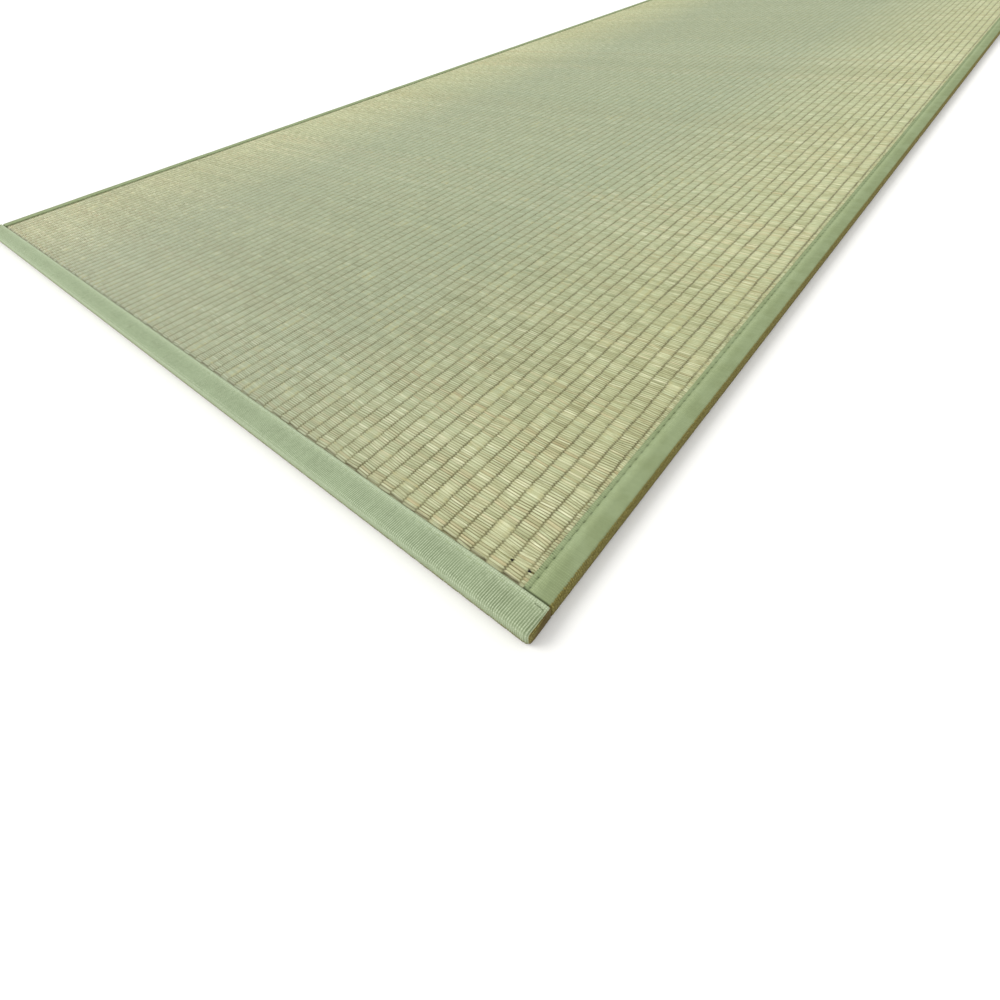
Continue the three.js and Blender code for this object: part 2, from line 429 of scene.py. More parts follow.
# %% [markdown]
# ## The tapes
# The tape is a ribbed cloth: thick cross threads make fine ribs over its width. It is folded round
# the edge like a long letter C and sewn through. Sweeping a profile would give a smooth tape, so
# rows of points are laid along it instead, two for each rib, one on the crest and one in the dip.
# The hidden inside needs far fewer points, so fans of triangles join the dense outside to a coarse
# inside. The tapes of the short edges go on last: they are closed round the corners, and the long
# tapes dip to go under them.

# %% Profiles of the tapes
TAPE_RIB = 1.263  # spacing of the cloth's ribs
FOLD_RADIUS = 2.2
FOLD_MIDDLE = FOLD_RADIUS * (1 - math.sqrt(0.5))
BELLY_AT_FOLD = 0.6  # how much of the belly is left in the middle of a fold
FLAP_SAG = 0.05  # of the inside, at the top flap's edge

# Each pair of a profile is the distance in from the outer side, and the height against the tape's
# top. The low place in each is where the seam pulls the cloth down. "lights" says how much painted
# light or shade the cloth gets at each place of its profile.
END_TAPE = {
    "top": END_TAPE_TOP,
    "width": END_TAPE_WIDTH,
    "half_run": HALF_WIDTH,
    "profile": ((16.8, -0.25), (15.5, -0.08), (14.1, -0.32), (12.4, -0.16), (11.2, -0.28), (9.2, 0.0),
                (5.4, -0.12), (FOLD_RADIUS, -0.02)),
    "lights": (0.45, 0.5, 0.25, 0.08, 0.0, -0.02, 0.0, 0.0, 0.25, 0.32, 0.1),
    "contrast": 0.44,  # how much darker the dips are painted than the crests, as shade
    "crisp": (0.7, 0.8, 0.9, 0.95, 1.0, 1.1, 1.35, 1.6, 1.4, 0.8, 0.8),  # the share of it at each place
    "slant": 0.05,  # how far the ribs lean, against their length
    "belly": 0.0,  # how far the outer side stands out between its folds
    "seam_row": 2,
    "stitch": 6.9,
    "dimple": 0.2,  # how much painted shade darkens the cloth where a stitch pulls it in
    "locks": (3.0, 4.3, 5.5, 6.8),  # short lock stitches, from the end of the tape
    "rib": 0.13,  # a crest above the middle of the cloth's surface
}
SIDE_TAPE = {
    "top": SIDE_TAPE_TOP,
    "width": SIDE_TAPE_WIDTH - SIDE_SETBACK,
    "half_run": SIDE_TAPE_END,
    "profile": ((15.5, -0.22), (13.9, -0.4), (13.1, -0.55), (12.2, -0.02), (11.0, 0.05), (7.0, -0.12),
                (FOLD_RADIUS, -0.02)),
    "lights": (0.2, 0.05, 0.0, 0.3, 0.65, -0.05, 0.0, 0.0, 0.0, 0.0),
    "contrast": 0.18,
    "crisp": (2.6, 2.6, 2.4, 1.4, 1.0, 1.0, 1.0, 1.5, 2.5, 2.5),
    "slant": 0.02,
    "belly": 0.5,
    "seam_row": 2,
    "stitch": 6.4,
    # painted shade in the dimples, strong on the long edges
    "dimple": 1.8,
    "locks": (),
    "rib": 0.04,  # its ribs are pulled flatter
}


def profile_rows(kind):
    """The dense rows outside, then the coarse rows below and inside, each as distance in and height."""
    top, width, belly, t = kind["top"], kind["width"], kind["belly"], TAPE_THICKNESS
    fold = FOLD_MIDDLE - BELLY_AT_FOLD * belly
    dense = [(d, top + rise) for d, rise in kind["profile"]]
    dense += [(fold, top - FOLD_MIDDLE), (-belly, top - FOLD_RADIUS), (-belly, FOLD_RADIUS)]
    below = [(fold, FOLD_MIDDLE), (FOLD_RADIUS, 0), (width, 0)]
    bend = FOLD_RADIUS
    inside = [(width, t), (bend, t), (t, bend), (t, top - bend), (bend, top - t)]
    inside.append((width, top - t - FLAP_SAG))
    return dense, below, inside


def outward(rows):
    """The direction out of the cloth at each row."""
    along = np.gradient(np.array(rows), axis=0)
    normal = np.stack([along[:, 1], -along[:, 0]], 1)
    return normal / np.linalg.norm(normal, axis=1, keepdims=True)


# %% How the ends of the tapes lie
LAP_RAMP = 1.7  # how far before the lap a long tape begins to dip
TUCK_FROM = 6  # how far in from the outer side the tuck begins


def end_overshoot(kind, s):
    """From 0 to 1 over the last millimetres of a closed tape, where it is rounded."""
    return np.clip((np.abs(s) - kind["half_run"] + FOLD_RADIUS) / FOLD_RADIUS, 0, 1)


def round_end(kind, s, d, z):
    """Draws a short edge's tape in at its ends, as cloth folded round a corner."""
    inset = FOLD_RADIUS * (1 - np.sqrt(1 - end_overshoot(kind, s) ** 2))
    d = d + inset * (np.asarray(d) < kind["width"] / 2)
    return d, z + inset * np.where(np.asarray(z) > kind["top"] / 2, -1, 1)


def tuck_end(kind, s, d):
    """Draws a short edge's tape in along its length too, where it meets the long edge's tape."""
    tuck = SIDE_SETBACK - SIDE_TAPE["belly"]
    return s - np.sign(s) * tuck * end_overshoot(kind, s) * smooth_step(d, TUCK_FROM, kind["width"])


def go_under_lap(kind, s, d, z):
    """Presses a long edge's tape flatter and narrower where a short edge's tape lies over it."""
    inward = HALF_LENGTH - np.abs(s)
    share = 1 - smooth_step(inward, END_TAPE_WIDTH + FIT_GAP, END_TAPE_WIDTH + LAP_RAMP)
    layer = TAPE_THICKNESS + FIT_GAP
    flatter = (END_TAPE_TOP - 2 * layer) / kind["top"]
    narrower = (SIDE_TAPE_WIDTH - layer) / kind["width"]
    low = layer + z * flatter
    tight = kind["width"] - (kind["width"] - np.maximum(d, 0)) * narrower
    return d + (tight - d) * share, z + (low - z) * share


# %% Places on the mat, for the tapes of the short edges and of the long ones
# `s` runs along the tape, `d` is the distance in from its outer side and `z` is the height.
def put_end(turn, s, d, z):
    return turn * s, turn * (d - HALF_LENGTH), z


def put_side(turn, s, d, z):
    return turn * (HALF_WIDTH - SIDE_SETBACK - d), turn * s, z


# %% Where the rows of points stand along a tape
INSIDE_STEP = 16  # rows of the outside to one row of the inside
ROUNDING_ANGLES = (75, 60, 45, 30, 15, 0)  # of the points round a closed end, in degrees
CLEAR_OF_ROUNDING = 0.2  # no point of a rib stands closer to the rounding
END_ROWS = 4  # rows at each end that the inside keeps as well


def stations(kind, closed):
    """Places along the tape, two for each of its ribs, and the ones that the inside keeps."""
    half = kind["half_run"]
    count = 2 * round(2 * half / TAPE_RIB)
    s = np.linspace(-half, half, count + 1)
    if closed:
        rounding = half - FOLD_RADIUS + FOLD_RADIUS * np.cos(np.radians(ROUNDING_ANGLES))
        s = s[np.abs(s) < half - FOLD_RADIUS - CLEAR_OF_ROUNDING]
        s = np.concatenate([-rounding[::-1], s, rounding])
    last = len(s) - 1
    ends = np.arange(END_ROWS)
    cuts = np.concatenate([np.arange(0, last, INSIDE_STEP), ends, last - ends])
    return s, np.unique(cuts)


# %% How uneven the cloth is
# A wave says over how many rows of points a thing wanders.
CREST_SPREAD = 0.045  # how unevenly light the crests are
LEAN_WAVE = 90
BOW = 0.08  # how much the ribs bend, against how much they lean
BOW_WAVE = 60
EDGE_WANDER = 0.12  # of the top flap's edge
EDGE_WAVE = 50
SWELL = 0.05  # how unevenly high the tape lies
SWELL_WAVE = 30
PULL_SHARPNESS = 6  # a higher power makes a stitch's dimple shorter
BROWN_ROUND_END = (0.5, 0.85)  # where a closed end turns brown with painted shade, from 0 at its fold to 1 at its tip


def cloth_of(kind, s, closed):
    """What changes along a tape: its ribs, its random lines, the stitches' pull and the painted brown shade
    of its ends.
    """
    count = len(s)
    loose = 1 - end_overshoot(kind, s) if closed else np.ones(count)
    crest = np.where(np.arange(count) % 2, 1.0, -1.0)
    return {
        "crest": crest,
        "rib": crest * loose,
        "uneven": RANDOM.normal(0, CREST_SPREAD, count),
        "lean": slow_noise(count, LEAN_WAVE, kind["slant"]) * loose,
        "bow": slow_noise(count, BOW_WAVE, BOW * kind["slant"]) * loose,
        "edge": slow_noise(count, EDGE_WAVE, EDGE_WANDER) * loose,
        "swell": slow_noise(count, SWELL_WAVE, SWELL) * loose,
        "pull": np.sin(np.pi * s / kind["stitch"]) ** PULL_SHARPNESS * loose,
        "brown": smooth_step(end_overshoot(kind, s), *BROWN_ROUND_END) if closed else np.zeros(count),
    }


# %% One row of points on the outside of a tape
PULL_OUT = 0.3  # how far a stitch draws the seam to the outer side
PULL_DOWN = 0.2
TOP_FLAP = 1.0  # the rows less than this below the top belong to the top flap
PLAIN_LIGHT = 0.5
FOOT_SHADE = 0.9  # painted shade on the outer side of a closed tape, lighter higher up
INSIDE_LIGHT = 0.2


def outside_row(kind, cloth, s, closed, number, place, out):
    """One row along the tape: where it lies, its painted light, its painted brown shade and its way round
    the fold.
    """
    d, z = place
    top, from_middle = kind["top"], d - kind["width"] / 2
    pull = cloth["pull"] * (number == kind["seam_row"])
    along = s + cloth["lean"] * from_middle + cloth["bow"] * from_middle ** 2
    if closed:
        along = tuck_end(kind, along, d)
    d_now = d + cloth["edge"] * (number == 0) - PULL_OUT * pull
    z_now = z + cloth["swell"] * (z > top - TOP_FLAP) - PULL_DOWN * pull
    d_now, z_now = (round_end if closed else go_under_lap)(kind, s, d_now, z_now)
    d_now = d_now + out[0] * kind["rib"] * cloth["rib"]
    z_now = z_now + out[1] * kind["rib"] * cloth["rib"]
    floor_shade = FOOT_SHADE * (1 - z / top) if closed else 1.0
    # Painted brown shade on the outer side, deeper towards the floor, and round the closed ends.
    brown_shade = np.maximum(np.clip(1 - d / FOLD_RADIUS, 0, 1) * floor_shade, cloth["brown"])
    # Painted light and shade: crests and bands lighter, dips and stitch dimples darker.
    light = PLAIN_LIGHT + kind["contrast"] * kind["crisp"][number] * cloth["crest"] + cloth["uneven"]
    light = light + kind["lights"][number] - kind["dimple"] * pull
    return along, d_now, z_now, light, brown_shade, d + top - z


# %% One tape
def tape(name, kind, turn, closed):
    """One folded tape. The second tape of each pair is the first one turned half round."""
    weave = Weave()
    dense_rows, below_rows, inside_rows = profile_rows(kind)
    s, cuts = stations(kind, closed)
    cloth = cloth_of(kind, s, closed)
    bend, put = (round_end, put_end) if closed else (go_under_lap, put_side)

    dense = []
    for number, (place, out) in enumerate(zip(dense_rows, outward(dense_rows))):
        along, d, z, *marks = outside_row(kind, cloth, s, closed, number, place, out)
        dense.append(weave.row(*put(turn, along, d, z), *marks))
    below = []
    for d, z in below_rows:
        along = tuck_end(kind, s[cuts], d) if closed else s[cuts]
        girth = d + kind["top"] - z
        below.append(weave.row(*put(turn, along, *bend(kind, s[cuts], d, z)), PLAIN_LIGHT, 1, girth))
    inside = []
    for d, z in inside_rows:
        if closed:
            along = s[cuts] * (HALF_WIDTH - SIDE_SETBACK - TAPE_THICKNESS) / HALF_WIDTH
            place = put(turn, along, d, z)
        else:
            place = put(turn, s[cuts], *bend(kind, s[cuts], d, z))
        inside.append(weave.row(*place, INSIDE_LIGHT, 1, 0))

    coarse = below + inside
    for low, high in zip(dense[:-1] + coarse[:-1], dense[1:] + coarse[1:]):
        weave.fill(fill_rows(low, high))
    weave.fill(zip_rows(dense[-1], coarse[0], cuts, dense_first=True))
    weave.fill(zip_rows(dense[0], coarse[-1], cuts, dense_first=False))
    for end, order in ((-1, 1), (0, -1)):
        outer = [int(row[end]) for row in dense + below]
        inner = [int(row[end]) for row in inside]
        loops = [outer, inner, [outer[0], outer[-1], inner[0], inner[-1]]] if closed else [outer + inner]
        weave.plates += [loop[::order] for loop in loops]
    return weave.make(name)


# %% Make the tapes
tapes = {
    "binding_front": tape("tape_front", END_TAPE, 1, closed=True),
    "binding_back": tape("tape_back", END_TAPE, -1, closed=True),
    "binding_right": tape("tape_right", SIDE_TAPE, 1, closed=False),
    "binding_left": tape("tape_left", SIDE_TAPE, -1, closed=False),
}

# %% [markdown]
# ## The sewing
# A machine seam shows as a row of short thread loops, each diving into the cloth at both ends. One
# stitch is modelled as a bent thread by spinning a small ring round a far point. The row of them is
# then laid out as arrays, because the seams need hundreds.

# %% One stitch
THREAD = 0.5  # thickness of the sewing thread
THREAD_SIDES = 6
STITCH_SPAN = 4.9  # how much of each stitch shows
STITCH_ARC = 7.0  # radius of the bend
STITCH_STEPS = 4


def one_stitch():
    """A short bent thread along Y with its top at the origin. Returns its points and its faces."""
    bm = bmesh.new()
    ring = bmesh.ops.create_circle(bm, segments=THREAD_SIDES, radius=THREAD / 2)["verts"]
    bmesh.ops.rotate(bm, verts=ring, matrix=Matrix.Rotation(math.pi / 2, 3, "X"))
    half_angle = STITCH_SPAN / 2 / STITCH_ARC
    centre = Vector((0, 0, -STITCH_ARC))
    bmesh.ops.rotate(bm, verts=ring, cent=centre, matrix=Matrix.Rotation(half_angle, 3, "X"))
    bmesh.ops.spin(bm, geom=ring + list(bm.edges), cent=centre, axis=(1, 0, 0), angle=-2 * half_angle,
                   steps=STITCH_STEPS, use_duplicate=False)
    bmesh.ops.holes_fill(bm, edges=[edge for edge in bm.edges if edge.is_boundary])
    bmesh.ops.triangulate(bm, faces=bm.faces[:])
    bmesh.ops.recalc_face_normals(bm, faces=bm.faces[:])
    bm.verts.index_update()
    points = np.array([vert.co for vert in bm.verts])
    faces = np.array([[vert.index for vert in face.verts] for face in bm.faces])
    bm.free()
    return points, faces


STITCH_POINTS, STITCH_FACES = one_stitch()
print("one stitch", len(STITCH_FACES), "triangles")

# %% Rows of stitches
STITCH_TURN = 0.02  # how far aslant a stitch lies, against its length
STITCH_STRAY = 0.06  # how far it lies out of line
STITCH_PROUD = 0.1 * THREAD  # how far the middle of the thread lies above the cloth
LOCK_LENGTH = 0.9
LOCK_WIDTH = 1.5  # against the width of a long stitch, because it is sewn over more than once
LOCK_STRAY = 0.2
LOCK_PROUD = 0.4 * THREAD
STITCH_LIGHT, LOCK_LIGHT = 0.5, 0.0  # marks for the thread's finish


def seam(name, kind, turn, put, reach):
    """A row of stitches along a tape's seam, each a little out of line."""
    weave = Weave()
    d_seam, rise = kind["profile"][kind["seam_row"]]
    x, y, z = STITCH_POINTS.T
    each_way = int(reach / kind["stitch"])
    for number in range(-each_way, each_way + 1):
        d = d_seam - x - RANDOM.normal(0, STITCH_TURN) * y + RANDOM.normal(0, STITCH_STRAY)
        place = put(turn, y + number * kind["stitch"], d, kind["top"] + rise + z + STITCH_PROUD)
        numbers = weave.row(*place, STITCH_LIGHT, 0, 0)
        weave.fill(numbers[STITCH_FACES])
    for end in (-1, 1):
        for from_end in kind["locks"]:
            along = end * (kind["half_run"] - from_end) + y * LOCK_LENGTH / STITCH_SPAN
            d = d_seam - x * LOCK_WIDTH + RANDOM.normal(0, LOCK_STRAY)
            place = put(turn, along, d, kind["top"] + rise + z + LOCK_PROUD)
            numbers = weave.row(*place, LOCK_LIGHT, 0, 0)
            weave.fill(numbers[STITCH_FACES])
    return weave.make(name)


side_reach = HALF_LENGTH - END_TAPE_WIDTH - LAP_RAMP - STITCH_SPAN / 2
end_reach = HALF_WIDTH - END_TAPE["locks"][-1] - LOCK_LENGTH - STITCH_SPAN / 2
seams = {
    "binding_front": seam("stitches_front", END_TAPE, 1, put_end, end_reach),
    "binding_back": seam("stitches_back", END_TAPE, -1, put_end, end_reach),
    "binding_right": seam("stitches_right", SIDE_TAPE, 1, put_side, side_reach),
    "binding_left": seam("stitches_left", SIDE_TAPE, -1, put_side, side_reach),
}

# %% Attach the tapes and their stitches, and hide the solid tapes
# A tape is cut to its length, and its width is both flaps and the way round the edge. A long tape
# grips the outermost section of the rush, and a short one lies over all of them and both long tapes.
SHORT_EDGES = ("binding_front", "binding_back")
for node, piece in tapes.items():
    for part in (piece, seams[node]):
        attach(part, "root")
        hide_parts(node)

# %% [markdown]
# ## Finishes
# Every colour is written as it is seen, and one function turns it to the linear values that the
# renderer works with. One more function adds a node with its settings and links. A finish is then
# a first colour with coats over it, as a painter would lay them, each where some value says: the
# noise of the grain, a mark on the mesh, or the place on the mat.

# %% Colours and nodes
MIX_SHARE, MIX_UNDER, MIX_OVER, MIX_RESULT = 0, 6, 7, 2  # sockets of a Mix node that mixes colours


def linear(colour):
    """A colour such as "B9BC93" as linear red, green, blue and alpha."""
    parts = [int(colour[i:i + 2], 16) / 255 for i in (0, 2, 4)]
    return [c / 12.92 if c <= 0.04045 else ((c + 0.055) / 1.055) ** 2.4 for c in parts] + [1.0]


def add(tree, kind, settings, result=0):
    """Adds a node and returns one of its outputs. Settings name its properties, its colour stops, and
    for each input a value, a colour or the output that feeds it."""
    node = tree.nodes.new("ShaderNode" + kind)
    for key, value in settings.items():
        if key == "stops":
            stops = node.color_ramp.elements
            while len(stops) < len(value):
                stops.new(0.5)
            for stop, (place, colour) in zip(stops, value):
                stop.position = place
                stop.color = linear(colour)
        elif isinstance(key, str) and hasattr(node, key):
            setattr(node, key, value)
        elif isinstance(value, bpy.types.NodeSocket):
            tree.links.new(value, node.inputs[key])
        else:
            node.inputs[key].default_value = linear(value) if isinstance(value, str) else value
    return node.outputs[result]


def between(value, low, high, to_low, to_high):
    """Settings that map one range of a value to another, and stop at its ends."""
    return {"Value": value, "From Min": low, "From Max": high, "To Min": to_low, "To Max": to_high}


def coats(tree, skin, layers):
    """Lays colours over a skin, one after another. A layer is a value, where it starts and where it
    is full, how strong it is then, its colour, and how it mixes if it doesn't just cover."""
    for value, none_at, full_at, strength, colour, *how in layers:
        share = add(tree, "MapRange", between(value, none_at, full_at, 0.0, strength))
        mixing = {"data_type": "RGBA", "blend_type": how[0] if how else "MIX"}
        mixing.update({MIX_SHARE: share, MIX_UNDER: skin, MIX_OVER: colour})
        skin = add(tree, "Mix", mixing, MIX_RESULT)
    return skin


# %% Marks, grain and places that the finishes read
GRAIN_DETAIL = 2.0


def marks_of(tree, name):
    """The three values of one of the mesh's own attributes."""
    source = add(tree, "Attribute", {"attribute_name": name}, "Vector")
    return add(tree, "SeparateXYZ", {"Vector": source}).node.outputs


def start(name, roughness, specular):
    """A new material with its shader, and the tree to build on."""
    material = bpy.data.materials.new(name)
    material.use_nodes = True
    tree = material.node_tree
    shader = tree.nodes["Principled BSDF"]
    shader.inputs["Roughness"].default_value = roughness
    shader.inputs["Specular IOR Level"].default_value = specular
    return material, tree, shader


def grain(tree, sizes):
    """Noise on the piece's own coordinates. `sizes` is how far apart its spots are, in millimetres."""
    place = add(tree, "TexCoord", {}, "Object")
    scale = [1 / (size * MM) for size in sizes]
    stretched = add(tree, "Mapping", {"Scale": scale, "Vector": place})
    return add(tree, "TexNoise", {"Scale": 1.0, "Detail": GRAIN_DETAIL, "Vector": stretched}, "Fac")


def from_middle(tree, axis):
    """How far a place is from one of the mat's two middle lines, in metres."""
    place = add(tree, "TexCoord", {}, "Object")
    along = add(tree, "SeparateXYZ", {"Vector": place}, axis)
    return add(tree, "Math", {"operation": "ABSOLUTE", 0: along})


def before_end_tape(distance):
    """Metres from the mat's middle to a place so many millimetres before the end tape."""
    return (HALF_LENGTH - END_TAPE_WIDTH - distance) * MM


# %% [markdown]
# ## Finish of the rush
# Igusa rush is dried whole, so each strand keeps a waxy skin, fine grain along its length and its
# own shade between straw and grey green. The grooves and valleys are painted darker, as the shade
# that falls in them. The strand's shade comes from the mesh, one for each float, and the grain is
# noise stretched along the strand. It gives the eye many thin pale lines with a dull gloss. Towards
# its long edges the mat has faded to straw, and its middle is a greyer green with less painted shade.

# %% How far a place is from the next valley
def valley_distance(tree, shift):
    """How far a place is from the middle of the next valley, worked out from its place on the mat."""
    place = add(tree, "TexCoord", {}, "Object")
    across = add(tree, "SeparateXYZ", {"Vector": place}, "X")
    for height, turn_x, turn_y in WANDER:
        turning = (turn_x / MM, turn_y / MM, 0)
        phase = add(tree, "VectorMath", {"operation": "DOT_PRODUCT", 0: place, 1: turning}, "Value")
        wave = add(tree, "Math", {"operation": "SINE", 0: phase})
        across = add(tree, "Math", {"operation": "MULTIPLY_ADD", 0: wave, 1: -height * MM, 2: across})
    across = add(tree, "Math", {"operation": "MULTIPLY_ADD", 0: shift, 1: -MM, 2: across})
    first = (FIRST_VALLEY - HALF_WIDTH) * MM
    from_first = add(tree, "Math", {"operation": "SUBTRACT", 0: across, 1: first})
    return add(tree, "Math", {"operation": "PINGPONG", 0: from_first, 1: RIB_PITCH / 2 * MM})


# %% Where the rush is dark
VALLEY_LINE = 1.15  # half the width of the dark line in a valley
DARK_FROM, DARKEST_FROM = 2.9, 2.1  # how far before the end tape every second rib gets its painted shadow
STRAW_TO, GREEN_FROM = 380, 180  # from the mat's long middle line
MIDDLE_SHADE_LEFT = 0.75  # how much of the painted shade is left in the middle of the mat


def rush_shadows(tree, distance, across, gap):
    """The painted shade in the grooves, in the valleys' spots, by the end tape and in the holes, each from
    0 to 1.
    """
    depth, spot_shade, shift = marks_of(tree, "mark")
    middle_shade = add(tree, "MapRange", between(across, STRAW_TO * MM, GREEN_FROM * MM, 1.0, MIDDLE_SHADE_LEFT))
    groove = add(tree, "MapRange", between(depth, 0.42 * GROOVE, 0.95 * GROOVE, 0.0, 1.0))
    groove = add(tree, "Math", {"operation": "MULTIPLY", 0: groove, 1: gap})
    groove = add(tree, "Math", {"operation": "MULTIPLY", 0: groove, 1: middle_shade})
    near_valley = add(tree, "MapRange", between(distance, 0.0, VALLEY_LINE * MM, 1.0, 0.0))
    dives = (before_end_tape(DARK_FROM), before_end_tape(DARKEST_FROM))
    near_tape = add(tree, "MapRange", between(from_middle(tree, "Y"), *dives, 0.0, 1.0))
    line = add(tree, "Math", {"operation": "MAXIMUM", 0: near_valley, 1: near_tape})
    reach = add(tree, "Math", {"operation": "ABSOLUTE", 0: shift})
    spots = add(tree, "MapRange", between(reach, 0.0, TONGUE, 0.55, 1.0))
    dark = add(tree, "Math", {"operation": "MULTIPLY", 0: line, 1: spot_shade})
    dark = add(tree, "Math", {"operation": "MULTIPLY", 0: dark, 1: spots})
    dark = add(tree, "Math", {"operation": "MULTIPLY", 0: dark, 1: middle_shade})
    deep = add(tree, "MapRange", between(depth, 1.02, 1.25, 0.0, 2.2))
    hole = add(tree, "Math", {"operation": "MULTIPLY", 0: line, 1: deep})
    return groove, dark, hole


# %% Woven igusa rush, dried, unvarnished
# Floats whose gaps are pale and closed lie flat at their ends, and look duller there.
STREAK_SIZE = (26, 0.42, 0.42)  # grain along a strand, several lines to its width
PATCH_SIZE = (9, 1.2, 4)  # a paler or darker stretch of a strand


def rush_material():
    material, tree, shader = start("woven igusa rush", roughness=0.5, specular=0.4)
    shade, hue, gap = marks_of(tree, "tone")
    shift = marks_of(tree, "mark")[2]
    streak = grain(tree, STREAK_SIZE)
    across = from_middle(tree, "X")
    distance = valley_distance(tree, shift)
    groove, dark, hole = rush_shadows(tree, distance, across, gap)
    pressed_flat = add(tree, "MapRange", between(gap, 0.5, 0.2, 0.0, 1.0))
    near_end = add(tree, "MapRange", between(distance, 1.2 * MM, 3.6 * MM, 0.45, 0.0))
    flat_end = add(tree, "Math", {"operation": "MULTIPLY", 0: pressed_flat, 1: near_end})

    wave = add(tree, "MapRange", between(grain(tree, PATCH_SIZE), 0.3, 0.7, -0.12, 0.12))
    shade = add(tree, "Math", {"operation": "ADD", 0: shade, 1: wave})
    stops = ((0.0, "A5A67D"), (0.35, "BDC197"), (0.65, "CCD0A7"), (1.0, "E6E7C2"))
    skin = add(tree, "ValToRGB", {"stops": stops, "Fac": shade}, "Color")
    skin = coats(tree, skin, (
        (hue, 0.6, 1.0, 0.6, "D2BC92"),  # straw strands
        (hue, 0.5, 0.0, 0.6, "BCC9A2"),  # green strands
        (streak, 0.62, 0.35, 0.5, "A39E72", "MULTIPLY"),  # dark grain
        (across, STRAW_TO * MM, GREEN_FROM * MM, 0.55, "8A9A86"),  # the greyer green middle
        (flat_end, 0.0, 1.0, 1.0, "B7B07A"),
        # painted shade in the grooves
        (groove, 0.0, 1.0, 1.0, "665D32"),
        (distance, 3.4 * MM, 0.6 * MM, 0.2, "878A5C"),  # soft shade down to the valley
        # painted shade in the valleys' spots, and the painted shadow of the end tape's edge
        (dark, 0.0, 1.0, 1.0, "4E4A28"),
        # painted shadow in the holes
        (hole, 0.0, 1.0, 1.0, "0E0C07"),
    ))
    tree.links.new(skin, shader.inputs["Base Color"])
    bump = add(tree, "Bump", {"Strength": 0.35, "Distance": 0.15 * MM, "Height": streak}, "Normal")
    tree.links.new(bump, shader.inputs["Normal"])
    return material


# %% [markdown]
# ## Finish of the tape
# Grosgrain tape is a plain weave of cotton with thick cross threads, dyed sage. Its rib crests are
# painted lighter and its dips darker, as the light falls across them. It is matt, with a faint fuzz.
# Its outer sides and the rounded ends of the short tapes are painted olive brown, darker towards
# the floor, as the warm shade that falls there.

# %% Sage grosgrain cotton tape, woven and folded
WARP_SPACING = 0.85  # real warp threads are closer, and this is as fine as shows
FUZZ_SIZE = (0.8, 0.8, 0.8)
BLOTCH_SIZE = (3, 3, 3)
CLOUD_SIZE = (14, 14, 9)
FADED_FROM, FADED_AT = 430, 360  # from the mat's long middle line
LAP_SHADE_FROM, LAP_SHADE_AT = 1.3, 0.95  # before the end tape


def tape_material(name, dark, dip, crest, pale, fading, lap):
    """The tape's cloth. `fading` is how pale it is away from the corners, `lap` how dark its painted lap
    shadow.
    """
    material, tree, shader = start(name, roughness=0.95, specular=0.08)
    rib, brown_shade, girth = marks_of(tree, "mark")
    fuzz = grain(tree, FUZZ_SIZE)
    uneven = add(tree, "MapRange", between(grain(tree, BLOTCH_SIZE), 0.3, 0.7, -0.07, 0.07))
    light = add(tree, "Math", {"operation": "ADD", 0: rib, 1: uneven})
    light = add(tree, "MapRange", between(light, -1.0, 2.0, 0.0, 1.0))
    # The light mark is painted light and shade: pale crests and bands, dark dips and dimples.
    stops = ((0.0, dark), (1 / 3, dip), (2 / 3, crest), (1.0, pale))
    cloth = add(tree, "ValToRGB", {"stops": stops, "Fac": light}, "Color")
    turn = add(tree, "Math", {"operation": "MULTIPLY", 0: girth, 1: 2 * math.pi / WARP_SPACING})
    warp = add(tree, "Math", {"operation": "SINE", 0: turn})
    # Olive brown, painted as warm shade, for the outer sides and the closed ends
    shaded_brown = coats(tree, "5C5124", (
        (fuzz, 0.38, 0.62, 1.0, "90864A"),
        (rib, 0.8, 0.2, 0.65, "473D14"),  # painted shade in the dips
        (girth, 7.0, 12.5, 0.7, "4A3414"),  # painted shade, darker towards the floor
    ))
    ragged = add(tree, "MapRange", between(fuzz, 0.3, 0.7, -0.2, 0.2))
    brown_share = add(tree, "Math", {"operation": "ADD", 0: brown_shade, 1: ragged})
    across, along = from_middle(tree, "X"), from_middle(tree, "Y")
    cloth = coats(tree, cloth, (
        (warp, 1.0, -1.0, 0.36, dip),
        (fuzz, 0.65, 0.35, 0.4, dip),
        (grain(tree, CLOUD_SIZE), 0.4, 0.6, 0.18, "A2B18E"),
        (across, FADED_FROM * MM, FADED_AT * MM, fading, "AEC2A6"),
        # painted shadow along the lap, under the end tape's edge
        (along, before_end_tape(LAP_SHADE_FROM), before_end_tape(LAP_SHADE_AT), lap, "454E33"),
        # painted brown shade on the outer sides and the closed ends
        (brown_share, 0.55, 0.8, 0.92, shaded_brown),
    ))
    tree.links.new(cloth, shader.inputs["Base Color"])
    bump = add(tree, "Bump", {"Strength": 0.3, "Distance": 0.1 * MM, "Height": fuzz}, "Normal")
    tree.links.new(bump, shader.inputs["Normal"])
    return material


# %% [markdown]
# ## Finish of the thread
# Spun polyester thread in the tape's colour, a little darker and smoother than the cloth. On the long
# edges it is painted darker still, as the shade in the seam's groove.

# %% Spun polyester thread
TWIST_SIZE = (0.3, 0.3, 0.3)


def thread_material(name, low, high):
    """Sewing thread between two shades. Lock stitches are painted darker, as the shade of thread drawn
    tight into the cloth.
    """
    material, tree, shader = start(name, roughness=0.6, specular=0.3)
    light = marks_of(tree, "mark")[0]
    colour = coats(tree, low, (
        (grain(tree, TWIST_SIZE), 0.35, 0.65, 1.0, high),
        # painted shade on the lock stitches
        (light, STITCH_LIGHT, LOCK_LIGHT, 0.5, "3C4630"),
    ))
    tree.links.new(colour, shader.inputs["Base Color"])
    return material


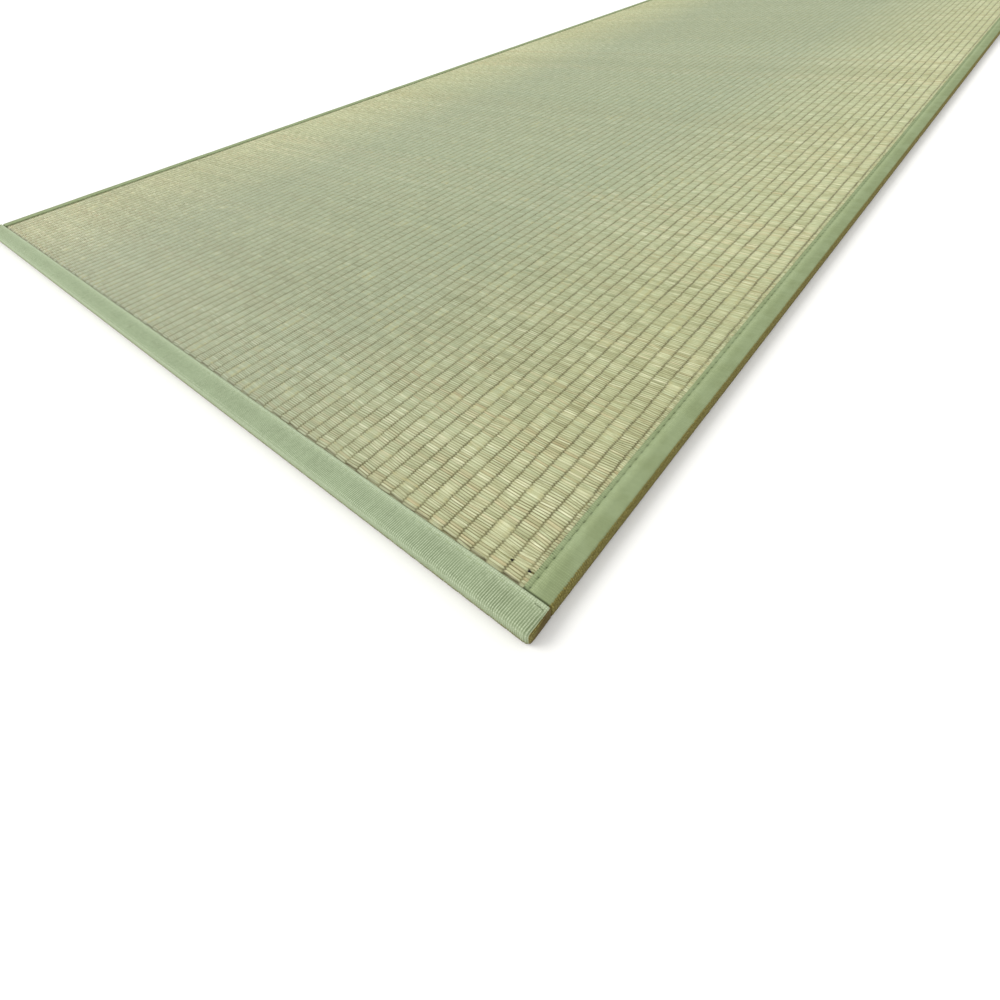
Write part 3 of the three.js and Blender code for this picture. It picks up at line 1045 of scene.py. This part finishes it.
# %% Give every piece its finish
RUSH = rush_material()
END_CLOTH = tape_material("sage grosgrain tape on the short edges", dark="3C4630", dip="6A7756",
                          crest="BFCBAB", pale="DDE7D0", fading=0.13, lap=0.0)
# The long edges' tape is the same cloth, painted darker as the shade it lies in.
SIDE_CLOTH = tape_material("sage grosgrain tape on the long edges in painted shade", dark="3F4930", dip="76825E",
                           crest="97A47B", pale="BFCBA6", fading=0.0, lap=0.8)
END_THREAD = thread_material("sage thread", low="8A9873", high="A2B08A")
# The long edges' thread is painted darker, as the shade in the seam's groove.
SIDE_THREAD = thread_material("sage thread in painted groove shade", low="5E6B47", high="86946A")
for piece in rush_pieces:
    piece.data.materials.append(RUSH)
for node, piece in tapes.items():
    piece.data.materials.append(END_CLOTH if node in SHORT_EDGES else SIDE_CLOTH)
    seams[node].data.materials.append(END_THREAD if node in SHORT_EDGES else SIDE_THREAD)
print("finishes", [material.name for material in (RUSH, END_CLOTH, SIDE_CLOTH, END_THREAD, SIDE_THREAD)])

# %% [markdown]
# ## Floor and light
# The mat lies on a plain pale floor. A wide sun from the left and the front brings out the ribs,
# and a white sky fills the shadows softly, as in a bright studio.

# %% Floor
FLOOR_SIZE = 60.0  # metres
FLOOR_DROP = 0.2  # below the mat, so that the two surfaces don't fall together
bm = bmesh.new()
bmesh.ops.create_grid(bm, x_segments=1, y_segments=1, size=FLOOR_SIZE / 2)
bmesh.ops.translate(bm, verts=bm.verts, vec=(0, 0, -FLOOR_DROP * MM))
floor_mesh = bpy.data.meshes.new("floor")
bm.to_mesh(floor_mesh)
bm.free()
floor = bpy.data.objects.new("floor", floor_mesh)
bpy.context.scene.collection.objects.link(floor)
floor_material, floor_tree, floor_shader = start("pale studio floor", roughness=0.9, specular=0.1)
floor_shader.inputs["Base Color"].default_value = linear("F4F4F2")
floor.data.materials.append(floor_material)
print("floor", FLOOR_SIZE, "m wide")

# %% Light
SUN_FROM = Vector((-0.75, -0.45, 1.0))  # towards the sun
SUN_POWER = 1.35
SUN_ANGLE = 30  # degrees
SUN_COLOUR = (1.0, 0.985, 0.95)
SKY_POWER = 0.98
sun_data = bpy.data.lights.new("sun", "SUN")
sun_data.energy = SUN_POWER
sun_data.angle = math.radians(SUN_ANGLE)
sun_data.color = SUN_COLOUR
sun = bpy.data.objects.new("sun", sun_data)
sun.rotation_euler = SUN_FROM.to_track_quat("Z", "Y").to_euler()
bpy.context.scene.collection.objects.link(sun)

world = bpy.data.worlds.new("white sky")
world.use_nodes = True
sky = world.node_tree.nodes["Background"]
sky.inputs["Color"].default_value = (1.0, 1.0, 1.0, 1.0)
sky.inputs["Strength"].default_value = SKY_POWER
bpy.context.scene.world = world
bpy.context.scene.view_settings.view_transform = "Standard"
print("sun", SUN_POWER, "and sky", SKY_POWER)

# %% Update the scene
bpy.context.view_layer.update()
